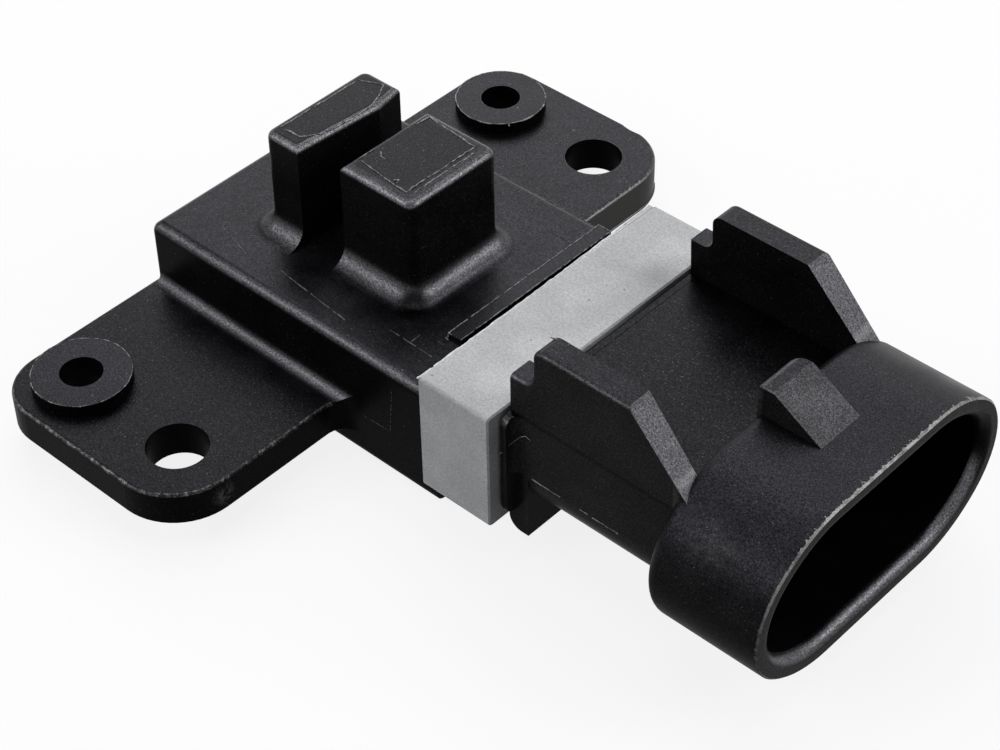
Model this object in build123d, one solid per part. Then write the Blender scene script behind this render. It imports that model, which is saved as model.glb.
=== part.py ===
"""Camshaft position sensor: vane slot between two towers, two fixing ears, a face seal
and a three-way oval connector.

Millimetres. Origin midway between the two screw holes on the underside of the ears,
+X towards the connector's mouth, +Z up.
"""
import math
import os
from build123d import *

# Block: the potted box that the towers stand on
block_back = -14.85
block_length = 29.0
block_half = 10.9
block_bottom = -1.8
block_height = 10.1
block_upright_radius = 0.5
block_side_radius = 0.8
block_under_radius = 0.8
block_front = block_back + block_length
room_wall = 1.75
room_front = block_front - room_wall
block_top = block_bottom + block_height

# Ears: one plate through the block, with a screw hole and a raised ring on each
ear_depth = 19.75
ear_half = 27.2
ear_thick = 2.9
ear_back_radius = 4.1
ear_front_radius = 4.95
ear_root_radius = 1.6
ear_foot_radius = 1.0
ear_edge_radius = 0.3
ear_under_chamfer = 0.2
screw_inset = 4.95
screw_y = ear_half - screw_inset
screw_hole_radius = 2.3
ring_x = -10.1
ring_inset = 4.9
ring_y = ear_half - ring_inset
ring_radius = 3.7
ring_height = 0.95
ring_hole_radius = 1.6
gate_nick_x = 0.0
gate_nick_radius = 3.2
gate_nick_depth = 0.33
ear_front = block_back + ear_depth

# Towers: magnet tower behind the vane slot, chip tower in front of it
tower_height = 8.65
slot_back = -4.3
slot_width = 3.6
slot_bulge = 0.6
slot_bulge_y = 2.55
back_tower_depth = 3.45
back_tower_half = 5.15
front_tower_depth = 6.95
front_tower_half = 4.45
tower_upright_radius = 0.75
tower_top_radius = 0.6
tower_foot_radius = 1.75
slot_front = slot_back + slot_width
tower_top = block_top + tower_height

# Lip strip across the front of the block's top
lip_setback = 2.35
lip_width = 1.2
lip_height = 0.38
lip_from = -5.6
lip_to = 10.5

# Seal and the waist that it is stretched over
seal_thick = 6.4
seal_half = 12.45
seal_offset = 0.15
seal_bottom = 1.1
seal_height = 10.1
seal_corner_radius = 0.35
seal_edge_chamfer = 0.12
waist_half = 9.0
waist_bottom = 3.1
waist_height = 6.1
waist_radius = 1.2
seal_front = block_front + seal_thick

# Flange, neck and tab in front of the seal
flange_gap = 0.25
flange_thick = 0.5
flange_half = 11.35
flange_bottom = 2.1
flange_height = 8.8
flange_radius = 0.8
flange_root_radius = 0.7
neck_length = 14.0
neck_half = 10.28
neck_bottom = 2.25
neck_height = 8.62
neck_radius = 3.5
tab_thick = 1.75
tab_drop = 2.3
tab_radius = 1.1
flange_back = seal_front + flange_gap
flange_front = flange_back + flange_thick
neck_top = neck_bottom + neck_height

# Guard walls that stand over the neck on both sides of the latch
guard_height = 6.53
guard_step_height = 3.23
guard_step_depth = 1.9
guard_flat = 8.1
guard_ramp_run = 5.1
guard_ramp_drop = 5.4
guard_foot_wall = 1.73
guard_top_wall = 2.08
guard_scoop_radius = 0.9
guard_corner_radius = 0.8
guard_edge_radius = 0.35
guard_top = neck_top + guard_height
guard_step = neck_top + guard_step_height
guard_rise_x = flange_back + guard_step_depth

# Connector shroud, its socket and the locking ramp on it
shroud_length = 9.2
shroud_half = 13.2
shroud_half_height = 6.8
shroud_end = 8.0
shroud_tip_cut = 0.8
shroud_z = 6.9
shroud_wall = 1.6
shroud_floor_wall = 1.15
shroud_back_radius = 0.9
lead_in_radius = 0.85
rim_chamfer = 0.15
latch_half = 2.05
latch_height = 2.37
latch_flat = 1.1
latch_ramp = 4.1
latch_edge_radius = 0.2
latch_corner_radius = 0.9
shroud_back = flange_back + neck_length
mouth = shroud_back + shroud_length
socket_floor = shroud_back + shroud_floor_wall
shroud_top = shroud_z + shroud_half_height

# Terminals: blade in the socket, strip through the neck, finger under the chip
blade_width = 1.5
blade_thick = 0.8
blade_pitch = 6.0
blade_setback = 3.9
blade_tip_chamfer = 0.3
finger_start = 3.0
finger_width = 0.5
finger_pitch = 1.27
cross_gap = 1.95
cross_width = 1.2
strip_bottom = shroud_z - blade_thick / 2
strip_top = shroud_z + blade_thick / 2
blade_tip = mouth - blade_setback

# Room under the block, and the pockets that run up from it into the towers
room_radius = 1.2
potting_recess = 0.3
pocket_wall = 0.8
pocket_roof_wall = 1.35
room_roof = strip_top
pocket_roof = tower_top - pocket_roof_wall
chip_x = slot_front + pocket_wall
chip_pocket_front = slot_front + front_tower_depth - pocket_wall
chip_pocket_half = front_tower_half - pocket_wall

# Magnet stack in the back tower, from its back to the slot
magnet_plate_thick = 0.45
magnet_thick = 1.0
pole_thick = 0.3
magnet_half = 3.0
magnet_height = 5.6
magnet_plate_overhang = 0.3
pole_half = 1.8
pole_height = 3.2
magnet_x = slot_back - back_tower_depth + pocket_wall
magnet_front = magnet_x + magnet_plate_thick + magnet_thick
magnet_pocket_half = magnet_half + 2 * magnet_plate_overhang

# Sensing chip, its leads, the flux plate behind it and the moulded carrier
sensing_depth = 5.0
chip_thick = 1.5
chip_half = 2.05
chip_height = 3.0
chip_chamfer = 0.4
lead_thick = 0.4
lead_setback = 0.6
flux_thick = 1.3
flux_half = 1.6
flux_height = 2.4
capacitor_length = 1.6
capacitor_width = 0.8
capacitor_height = 0.8
capacitor_gap = 0.1
capacitor_setback = 0.5
carrier_bed_thick = 1.55
carrier_bed_margin = 1.0
carrier_bed_gap = 1.2
carrier_leg_width = 1.2
carrier_clearance = 0.2
carrier_saddle_margin = 1.2
sensing_z = tower_top - sensing_depth
chip_front = chip_x + chip_thick
carrier_front = chip_pocket_front - carrier_clearance
cross_start = carrier_front + cross_gap
cross_end = cross_start + cross_width
lead_x = chip_x + lead_setback


def box(x0, x1, y0, y1, z0, z1):
    """A box from its six limits."""
    return Pos((x0 + x1) / 2, (y0 + y1) / 2, (z0 + z1) / 2) * Box(x1 - x0, y1 - y0, z1 - z0)


def sided(half, x0, x1, z0, z1):
    """A box that is the same on both sides of Y = 0."""
    return box(x0, x1, -half, half, z0, z1)


def plan_prism(points, z0, z1):
    """A plan outline raised from z0 to z1."""
    outline = Polyline(*[(x, y, z0) for x, y in points], close=True)
    return extrude(make_face(outline.edges()), z1 - z0, dir=(0, 0, 1))


def side_prism(points, half):
    """An X-Z outline drawn out to the same distance on both sides."""
    outline = Polyline(*[(x, -half, z) for x, z in points], close=True)
    return extrude(make_face(outline.edges()), 2 * half, dir=(0, 1, 0))


def flat_edges(shape, axis, value):
    """Edges that lie whole in the plane axis = value."""
    low_high = [(e, e.bounding_box()) for e in shape.edges()]
    return ShapeList([e for e, b in low_high if abs(getattr(b.min, axis) - value) < 1e-3
                      and abs(getattr(b.max, axis) - value) < 1e-3])


def block():
    """Solid box below the towers, with its edges rounded as moulded."""
    body = sided(block_half, block_back, block_front, block_bottom, block_top)
    back = [e for e in body.edges().filter_by(Axis.Z) if e.center().X < 0]
    body = fillet(back, block_upright_radius)
    body = fillet(flat_edges(body, "Z", block_top).filter_by(Axis.X), block_side_radius)
    return fillet(flat_edges(body, "Z", block_bottom).filter_by(Axis.X), block_under_radius)


def ear_outline():
    """Plan of the two ears and the block between them."""
    ears = Pos(block_back + ear_depth / 2, 0) * Rectangle(ear_depth, 2 * ear_half)
    under = Pos(block_back + block_length / 2, 0) * Rectangle(block_length, 2 * block_half)
    plan = ears + under
    outer = plan.vertices().filter_by(lambda v: abs(v.Y) > ear_half - 0.01)
    plan = fillet(outer.filter_by(lambda v: v.X < 0), ear_back_radius)
    outer = plan.vertices().filter_by(lambda v: abs(v.Y) > block_half + 1)
    plan = fillet(outer.filter_by(lambda v: abs(v.X - ear_front) < 0.01), ear_front_radius)
    root = plan.vertices().filter_by(lambda v: abs(v.X - ear_front) < 0.01)
    return fillet(root.filter_by(lambda v: abs(abs(v.Y) - block_half) < 0.01), ear_root_radius)


def ear_plate():
    """The two ears as one plate that runs through the block's foot."""
    plate = extrude(ear_outline(), ear_thick)
    plate = fillet(flat_edges(plate, "Z", ear_thick), ear_edge_radius)
    return chamfer(flat_edges(plate, "Z", 0), ear_under_chamfer)


def ear_foot():
    """Rounded foot where the block's side meets the ear's top, +Y side."""
    radius = ear_foot_radius
    y0, y1 = block_half - 0.5, block_half + radius
    x0, x1 = block_back + block_upright_radius, ear_front + ear_root_radius
    strip = box(x0, x1, y0, y1, ear_thick - 0.4, ear_thick + radius)
    strip -= Pos(x0, y1, ear_thick + radius) * (Rot(0, 90, 0) * Cylinder(radius, 4 * ear_depth))
    return strip & extrude(ear_outline(), ear_thick + 2 * radius)


def ring():
    """Raised ring round the small hole near the back of the +Y ear."""
    sunk = 0.4
    return Pos(ring_x, ring_y, ear_thick + (ring_height - sunk) / 2) * Cylinder(
        ring_radius, ring_height + sunk)


def tower(x0, x1, half, slot_face, outward):
    """A tower with a wide rounded foot on three sides, cut off square at the slot.

    slot_face is the slot's side as plan points, and outward points from it into the slot.
    """
    reach = 3 * tower_foot_radius
    low, high = (x0, x1 + reach) if outward > 0 else (x0 - reach, x1)
    slab = sided(half + 1.6 * tower_foot_radius, low - 1.6 * tower_foot_radius,
                 high + 1.6 * tower_foot_radius, block_top - 1, block_top)
    stem = sided(half, low, high, block_top - 0.5, tower_top)
    stem = fillet(stem.edges().filter_by(Axis.Z), tower_upright_radius)
    body = slab + stem
    foot = [e for e in flat_edges(body, "Z", block_top)
            if abs(e.center().Y) < half + 0.1 and low - 0.1 < e.center().X < high + 0.1]
    body = fillet(foot, tower_foot_radius)
    far = 4 * reach * outward
    ends = [(slot_face[0][0], -4 * half)] + slot_face + [(slot_face[-1][0], 4 * half)]
    beyond = ends + [(ends[-1][0] + far, 4 * half), (ends[0][0] + far, -4 * half)]
    body -= plan_prism(beyond, block_top - 2, tower_top + 1)
    return fillet(flat_edges(body, "Z", tower_top), tower_top_radius)


def towers():
    """Both towers, the back one with its slot face bulging to one side."""
    back_face = [(slot_back, -back_tower_half), (slot_back + slot_bulge, slot_bulge_y),
                 (slot_back + slot_bulge / 4, back_tower_half)]
    back = tower(slot_back - back_tower_depth, slot_back + slot_bulge, back_tower_half,
                 back_face, 1)
    front_face = [(slot_front, -front_tower_half), (slot_front, front_tower_half)]
    front = tower(slot_front, slot_front + front_tower_depth, front_tower_half, front_face, -1)
    return back, front


def lip_strip():
    """Low strip across the block's top."""
    x0 = block_front - lip_setback - lip_width
    return box(x0, x0 + lip_width, lip_from, lip_to, block_top - 0.2, block_top + lip_height)


def waist(extra):
    """The part of the neck that the seal sits on, longer than the seal by extra each way."""
    body = sided(waist_half, block_front - extra, seal_front + extra,
                 waist_bottom, waist_bottom + waist_height)
    return fillet(body.edges().filter_by(Axis.X), waist_radius)


def flange(x0, x1):
    """The flange's outline, drawn out from x0 to x1."""
    plate = sided(flange_half, x0, x1, flange_bottom, flange_bottom + flange_height)
    return fillet(plate.edges().filter_by(Axis.X), flange_radius)


def neck():
    """Neck with round lower edges, with the flange that holds the seal and the tab below it."""
    body = sided(neck_half, flange_back, shroud_back + 0.4, neck_bottom, neck_top)
    under = body.edges().filter_by(Axis.X).filter_by(
        lambda e: abs(e.center().Z - neck_bottom) < 0.01)
    tab = sided(neck_half, seal_front, seal_front + tab_thick, neck_bottom - tab_drop,
                neck_bottom + neck_radius)
    corner = [e for e in flat_edges(tab, "Z", neck_bottom - tab_drop).filter_by(Axis.Y)
              if e.center().X < seal_front + 0.01]
    return fillet(under, neck_radius) + fillet(corner, tab_radius) + flange(
        flange_back, flange_front)


def flange_root():
    """Concave corner between the flange and the neck's +Y side."""
    radius = flange_root_radius
    low, high = neck_bottom + neck_radius, flange_bottom + flange_height
    piece = box(flange_front - 0.2, flange_front + radius, neck_half - 0.3, neck_half + radius,
                low, high) & flange(flange_front - 0.2, flange_front + radius)
    return piece - Pos(flange_front + radius, neck_half + radius, neck_bottom) * Cylinder(
        radius, 4 * neck_height)


def guard():
    """Guard wall on the +Y side: stepped back, flat top, long ramp down to the shroud."""
    sunk = neck_top - 2.0
    flat_end = guard_rise_x + guard_flat
    tip = flat_end + guard_ramp_run
    outline = [(flange_back, sunk), (flange_back, guard_step), (guard_rise_x, guard_step),
               (guard_rise_x, guard_top), (flat_end, guard_top),
               (tip, guard_top - guard_ramp_drop), (tip, sunk)]
    wall = side_prism(outline, neck_half)
    section = [(neck_half, sunk), (neck_half, guard_top + 1), (neck_half - guard_top_wall,
               guard_top + 1), (neck_half - guard_top_wall, guard_top),
               (neck_half - guard_foot_wall, neck_top), (neck_half - guard_foot_wall, sunk)]
    line = Polyline(*[(flange_back - 1, y, z) for y, z in section], close=True)
    wall &= extrude(make_face(line.edges()), tip - flange_back + 2, dir=(1, 0, 0))
    across = wall.edges().filter_by(lambda e: abs(e.bounding_box().size.X) < 1e-4
                                    and abs(e.bounding_box().size.Z) < 1e-4)
    rise = across.filter_by(lambda e: abs(e.center().X - guard_rise_x) < 0.01)
    wall = fillet(rise.filter_by(lambda e: e.center().Z > guard_top - 0.01), guard_corner_radius)
    across = wall.edges().filter_by(lambda e: abs(e.bounding_box().size.X) < 1e-4
                                    and abs(e.bounding_box().size.Z) < 1e-4)
    inner = across.filter_by(lambda e: abs(e.center().X - guard_rise_x) < 0.01)
    wall = fillet(inner.filter_by(lambda e: abs(e.center().Z - guard_step) < 0.01),
                  guard_scoop_radius)
    long_top = wall.edges().filter_by(Axis.X).filter_by(
        lambda e: e.center().Z > guard_top - 0.01 and e.center().Y > neck_half - 0.01)
    return fillet(long_top, guard_edge_radius)


def oval(inset, x0, x1):
    """Oval prism along X, set in from the shroud's outside all round.

    Flat above and below, with each end made of a tip arc between two shoulder arcs.
    """
    half, height = shroud_half - inset, shroud_half_height - inset
    end = shroud_end - inset
    tip = height - shroud_tip_cut
    shoulder = end + (end - height) ** 2 / (2 * shroud_tip_cut)
    flat = half - end
    turn = math.degrees(math.atan2(shoulder - height, end - tip))
    right = [CenterArc((flat, height - shoulder), shoulder, turn, 90 - turn),
             CenterArc((half - tip, 0), tip, -turn, 2 * turn),
             CenterArc((flat, shoulder - height), shoulder, -90, 90 - turn)]
    left = [mirror(arc, Plane.YZ) for arc in right]
    lines = [Line((-flat, z), (flat, z)) for z in (height, -height)]
    outline = make_face([e for part in right + left + lines for e in part.edges()])
    face = Plane((x0, 0, shroud_z), x_dir=(0, 1, 0), z_dir=(1, 0, 0)) * outline
    return extrude(face, x1 - x0)


def rim(body):
    """The flat face round the shroud's mouth."""
    return body.faces().filter_by(Axis.X).sort_by(Axis.X)[-1]


def shroud():
    """Oval connector shroud with its socket, rounded inside at the mouth."""
    body = oval(0, shroud_back, mouth)
    body = fillet(flat_edges(body, "X", shroud_back), shroud_back_radius)
    body -= socket()
    body = fillet(rim(body).inner_wires()[0].edges(), lead_in_radius)
    return chamfer(rim(body).outer_wire().edges(), rim_chamfer)


def socket():
    """Space inside the shroud."""
    return oval(shroud_wall, socket_floor, mouth + 1)


def latch():
    """Locking ramp on top of the shroud."""
    low = shroud_top - 1.5
    outline = [(shroud_back, low), (shroud_back, shroud_top + latch_height),
               (shroud_back + latch_flat, shroud_top + latch_height),
               (shroud_back + latch_flat + latch_ramp, shroud_top - 0.02),
               (shroud_back + latch_flat + latch_ramp, low)]
    body = side_prism(outline, latch_half)
    corner = [e for e in body.edges().filter_by(Axis.Z)
              if e.center().X < shroud_back + 0.01 and e.center().Y > 0]
    body = fillet(corner, latch_corner_radius)
    return fillet(flat_edges(body, "Z", shroud_top + latch_height), latch_edge_radius)


def under_room():
    """Potted room under the block and the pockets up into both towers."""
    room = sided(block_half - room_wall, block_back + room_wall, room_front,
                 block_bottom - 1, room_roof)
    room = fillet(room.edges().filter_by(Axis.Z), room_radius)
    room += sided(magnet_pocket_half, magnet_x, magnet_front + pole_thick,
                  room_roof - 1, pocket_roof)
    room += sided(chip_pocket_half, chip_x, chip_pocket_front, room_roof - 1, pocket_roof)
    return room


def terminal(place):
    """Blade in the socket, strip through the neck and finger under the chip.

    place is -1, 0 or 1 across the connector.
    """
    y, finger_y = place * blade_pitch, place * finger_pitch
    start = cross_start if place else cross_end + cross_width
    strip = box(start, blade_tip, y - blade_width / 2, y + blade_width / 2,
                strip_bottom, strip_top)
    strip = chamfer(flat_edges(strip, "X", blade_tip), blade_tip_chamfer)
    strip += box(finger_start, start + 0.5, finger_y - finger_width / 2,
                 finger_y + finger_width / 2, strip_bottom, strip_top)
    if place:
        low, high = sorted((finger_y - place * finger_width / 2, y + place * blade_width / 2))
        strip += box(cross_start, cross_end, low, high, strip_bottom, strip_top)
    return strip


def hall_lead(place):
    """One lead of the sensing chip, bent to run along the carrier to its finger."""
    y = place * finger_pitch
    outline = [(lead_x, strip_bottom), (finger_start, strip_bottom),
               (finger_start, strip_bottom + lead_thick),
               (lead_x + lead_thick, strip_bottom + lead_thick),
               (lead_x + lead_thick, sensing_z - chip_height / 2),
               (lead_x, sensing_z - chip_height / 2)]
    return Pos(0, y, 0) * side_prism(outline, lead_thick / 2)


def hall_chip():
    """Sensing chip, flat against the wall that faces the slot."""
    body = sided(chip_half, chip_x, chip_front, sensing_z - chip_height / 2,
                 sensing_z + chip_height / 2)
    return chamfer(body.edges().filter_by(Axis.Z).sort_by(Axis.X)[:2], chip_chamfer)


def flux_plate():
    """Steel block behind the chip that draws the field through it."""
    return sided(flux_half, chip_front, chip_front + flux_thick, sensing_z - flux_height / 2,
                 sensing_z + flux_height / 2)


def capacitor(place):
    """Chip capacitor laid across two fingers."""
    low, high = sorted((place * capacitor_gap / 2,
                        place * (capacitor_gap / 2 + capacitor_length)))
    x0 = finger_start + capacitor_setback
    return box(x0, x0 + capacitor_width, low, high, strip_top, strip_top + capacitor_height)


def carrier():
    """Moulded holder: bed under the strips, two legs, and a saddle behind the chip."""
    half = chip_pocket_half - carrier_clearance
    x0, x1 = finger_start - carrier_bed_margin, carrier_front
    bed = sided(blade_pitch + blade_width, x0, room_front - carrier_bed_gap,
                strip_bottom - carrier_bed_thick, strip_bottom)
    bed = fillet(bed.edges().filter_by(Axis.Z), room_radius / 2)
    saddle_bottom = sensing_z - chip_height / 2 - carrier_saddle_margin
    saddle = sided(half, chip_front, x1, saddle_bottom,
                   sensing_z + chip_height / 2 + carrier_saddle_margin)
    made = bed + saddle
    for low in (-half, half - carrier_leg_width):
        made += box(x0, x1, low, low + carrier_leg_width, strip_bottom - 0.2,
                    saddle_bottom + 0.2)
    return made - flux_plate()


def magnet_back_plate():
    """Steel plate behind the magnet."""
    half_height = magnet_height / 2 + magnet_plate_overhang
    return sided(magnet_half + magnet_plate_overhang, magnet_x, magnet_x + magnet_plate_thick,
                 sensing_z - half_height, sensing_z + half_height)


def magnet():
    """Flat block magnet in the back tower."""
    return sided(magnet_half, magnet_x + magnet_plate_thick, magnet_front,
                 sensing_z - magnet_height / 2, sensing_z + magnet_height / 2)


def magnet_pole_piece():
    """Thin steel piece between the magnet and the slot's wall."""
    return sided(pole_half, magnet_front, magnet_front + pole_thick,
                 sensing_z - pole_height / 2, sensing_z + pole_height / 2)


def seal():
    """Thick rubber frame stretched over the waist."""
    body = Pos(0, seal_offset, 0) * sided(seal_half, block_front, seal_front, seal_bottom,
                                          seal_bottom + seal_height)
    body = fillet(body.edges().filter_by(Axis.X), seal_corner_radius)
    rims = flat_edges(body, "X", seal_front) + flat_edges(body, "X", block_front)
    return chamfer(rims, seal_edge_chamfer) - waist(1)


def housing(strips):
    """The one moulding: block, ears, towers, neck, guards and connector."""
    body = block() + ear_plate() + neck() + waist(flange_gap) + lip_strip()
    for piece in (ear_foot(), ring(), flange_root(), guard()):
        body = body + piece + mirror(piece, Plane.XZ)
    for piece in towers():
        body += piece
    body = body + shroud() + latch()
    for side in (1, -1):
        body -= Pos(0, side * screw_y, 0) * Cylinder(screw_hole_radius, 4 * ear_thick)
        body -= Pos(ring_x, side * ring_y, 0) * Cylinder(ring_hole_radius, 4 * ear_thick)
    body -= Pos(gate_nick_x, ear_half + gate_nick_radius - gate_nick_depth, 0) * Cylinder(
        gate_nick_radius, 4 * ear_thick)
    body = body - socket() - under_room()
    for strip in strips:
        body -= strip
    return body


def potting(held):
    """Resin that fills the room under the block round everything in it."""
    room = under_room() - sided(block_half, block_back, block_front, block_bottom - 2,
                                block_bottom + potting_recess)
    for piece in held:
        room -= piece
    return room


def main():
    """Build every piece and write one STEP file for each."""
    os.makedirs("parts", exist_ok=True)
    places = {"supply": -1, "ground": 0, "signal": 1}
    made = {"terminal_" + name: terminal(place) for name, place in places.items()}
    strips = list(made.values())
    for name, place in places.items():
        made["hall_lead_" + name] = hall_lead(place)
    made["hall_chip"] = hall_chip()
    made["flux_plate"] = flux_plate()
    made["supply_capacitor"] = capacitor(places["supply"])
    made["output_capacitor"] = capacitor(places["signal"])
    made["carrier"] = carrier()
    made["magnet"] = magnet()
    made["magnet_back_plate"] = magnet_back_plate()
    made["magnet_pole_piece"] = magnet_pole_piece()
    made["potting"] = potting(list(made.values()))
    made["seal"] = seal()
    made["housing"] = housing(strips)
    for name, shape in made.items():
        print(name, "solids", len(shape.solids()), "valid", shape.is_valid,
              "mm3", round(shape.volume, 2))
        export_step(shape, "parts/" + name + ".step")


main()
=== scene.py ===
import math
import random
import bpy
from mathutils import Matrix, Vector


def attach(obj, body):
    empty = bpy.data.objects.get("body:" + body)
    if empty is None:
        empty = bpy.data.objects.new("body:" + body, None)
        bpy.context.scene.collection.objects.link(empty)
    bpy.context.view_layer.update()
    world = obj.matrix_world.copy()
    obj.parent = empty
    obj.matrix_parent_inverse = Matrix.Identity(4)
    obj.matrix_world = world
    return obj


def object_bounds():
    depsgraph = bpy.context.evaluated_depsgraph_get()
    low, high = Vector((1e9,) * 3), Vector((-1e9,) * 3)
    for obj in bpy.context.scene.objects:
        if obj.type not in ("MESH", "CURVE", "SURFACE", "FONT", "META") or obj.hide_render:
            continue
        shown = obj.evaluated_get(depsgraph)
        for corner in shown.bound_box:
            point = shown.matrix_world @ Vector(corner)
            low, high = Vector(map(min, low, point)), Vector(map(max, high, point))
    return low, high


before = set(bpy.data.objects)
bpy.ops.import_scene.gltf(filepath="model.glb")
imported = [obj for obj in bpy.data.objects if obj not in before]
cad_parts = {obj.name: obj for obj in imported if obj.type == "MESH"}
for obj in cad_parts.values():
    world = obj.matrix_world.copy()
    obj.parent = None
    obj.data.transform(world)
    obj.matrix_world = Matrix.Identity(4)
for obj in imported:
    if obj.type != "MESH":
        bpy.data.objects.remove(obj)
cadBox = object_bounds()
scene = bpy.context.scene
scene.view_settings.view_transform = "Standard"
print("frame loaded:", len(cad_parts), "nodes")

cameraSet = {
    "place": (0.10174, -0.09728, 0.12231),
    "forward": (-0.5059, 0.5407, -0.6721),
    "roll": 0.98,
    "lens": 88.53,
    "shift": (-0.00487, -0.00441),
    "sensor": 36,
    "clip": (0.005, 20),
}
studioSet = {
    "middle": (0.014, 0.0, 0.006),
    "distance": 0.6,
    # direction that each box shines from, side of the square, brightness
    "boxes": {
        "backBox": ((-0.51, 0.54, 0.67), 0.40, 2.4),
        "rightBox": ((0.70, 0.54, 0.47), 0.30, 4.6),
        "leftBox": ((-0.51, -0.67, 0.54), 0.30, 4.2),
        "topBox": ((-0.10, 0.15, 1.0), 0.45, 2.0),
    },
    "ambient": 0.12,
    "whiteShare": 0.85,
    "floorSeen": (0.97, 0.97, 0.97, 1),
    "floorBounce": (0.40, 0.40, 0.40, 1),
    "floorGap": 0.0002,
    "floorSize": 6,
}


def addCamera():
    bpy.ops.object.camera_add(location=cameraSet["place"])
    camera = bpy.context.object
    camera.name = "photoCamera"
    forward = Vector(cameraSet["forward"]).normalized()
    level = forward.cross(Vector((0, 0, 1))).normalized()
    above = level.cross(forward)
    roll = math.radians(cameraSet["roll"])
    right = level * math.cos(roll) - above * math.sin(roll)
    up = level * math.sin(roll) + above * math.cos(roll)
    turned = Matrix((right, up, -forward)).transposed().to_4x4()
    camera.matrix_world = Matrix.Translation(cameraSet["place"]) @ turned
    camera.data.sensor_width = cameraSet["sensor"]
    camera.data.lens = cameraSet["lens"]
    camera.data.shift_x, camera.data.shift_y = cameraSet["shift"]
    camera.data.clip_start, camera.data.clip_end = cameraSet["clip"]
    scene.camera = camera


def seenDirectly(tree):
    # 1 for what the camera, gloss and glass see, 0 for light that falls on the object
    path = tree.nodes.new("ShaderNodeLightPath")
    seen = tree.nodes.new("ShaderNodeMath")
    seen.operation = "MAXIMUM"
    tree.links.new(path.outputs["Is Camera Ray"], seen.inputs[0])
    tree.links.new(path.outputs["Is Glossy Ray"], seen.inputs[1])
    both = tree.nodes.new("ShaderNodeMath")
    both.operation = "MAXIMUM"
    tree.links.new(seen.outputs[0], both.inputs[0])
    tree.links.new(path.outputs["Is Transmission Ray"], both.inputs[1])
    return both.outputs[0]


def addStudio():
    middle = Vector(studioSet["middle"])
    for name, (way, side, brightness) in studioSet["boxes"].items():
        way = Vector(way).normalized()
        bpy.ops.object.light_add(type="AREA", location=middle + way * studioSet["distance"])
        lamp = bpy.context.object
        lamp.name = name
        lamp.rotation_euler = way.to_track_quat("Z", "Y").to_euler()
        lamp.data.size = side
        lamp.data.energy = math.pi * side * side * brightness
    world = bpy.data.worlds.new("studioWorld")
    world.use_nodes = True
    tree = world.node_tree
    ambient = tree.nodes["Background"]
    ambient.inputs["Color"].default_value = (1, 1, 1, 1)
    ambient.inputs["Strength"].default_value = studioSet["ambient"]
    white = tree.nodes.new("ShaderNodeBackground")
    white.inputs["Color"].default_value = (1, 1, 1, 1)
    choose = tree.nodes.new("ShaderNodeMixShader")
    tree.links.new(seenDirectly(tree), choose.inputs["Fac"])
    tree.links.new(ambient.outputs[0], choose.inputs[1])
    tree.links.new(white.outputs[0], choose.inputs[2])
    tree.links.new(choose.outputs[0], tree.nodes["World Output"].inputs["Surface"])
    scene.world = world


def addFloor():
    low = cadBox[0].z - studioSet["floorGap"]
    bpy.ops.mesh.primitive_plane_add(size=studioSet["floorSize"], location=(0, 0, low))
    floor = bpy.context.object
    floor.name = "studioFloor"
    material = bpy.data.materials.new("paleFloor")
    material.use_nodes = True
    tree = material.node_tree
    seen = seenDirectly(tree)
    matt = tree.nodes["Principled BSDF"]
    matt.inputs["Roughness"].default_value = 1
    matt.inputs["Specular IOR Level"].default_value = 0
    tone = tree.nodes.new("ShaderNodeMix")
    tone.data_type = "RGBA"
    tree.links.new(seen, tone.inputs["Factor"])
    tone.inputs[6].default_value = studioSet["floorBounce"]
    tone.inputs[7].default_value = studioSet["floorSeen"]
    tree.links.new(tone.outputs[2], matt.inputs["Base Color"])
    glow = tree.nodes.new("ShaderNodeEmission")
    share = tree.nodes.new("ShaderNodeMath")
    share.operation = "MULTIPLY"
    share.inputs[1].default_value = studioSet["whiteShare"]
    tree.links.new(seen, share.inputs[0])
    choose = tree.nodes.new("ShaderNodeMixShader")
    tree.links.new(share.outputs[0], choose.inputs["Fac"])
    tree.links.new(matt.outputs[0], choose.inputs[1])
    tree.links.new(glow.outputs[0], choose.inputs[2])
    tree.links.new(choose.outputs[0], tree.nodes["Material Output"].inputs["Surface"])
    floor.data.materials.append(material)


addCamera()
addStudio()
addFloor()
print("camera, lamps and floor in place")


# Materials. Lengths in them are in millimetres.

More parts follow.
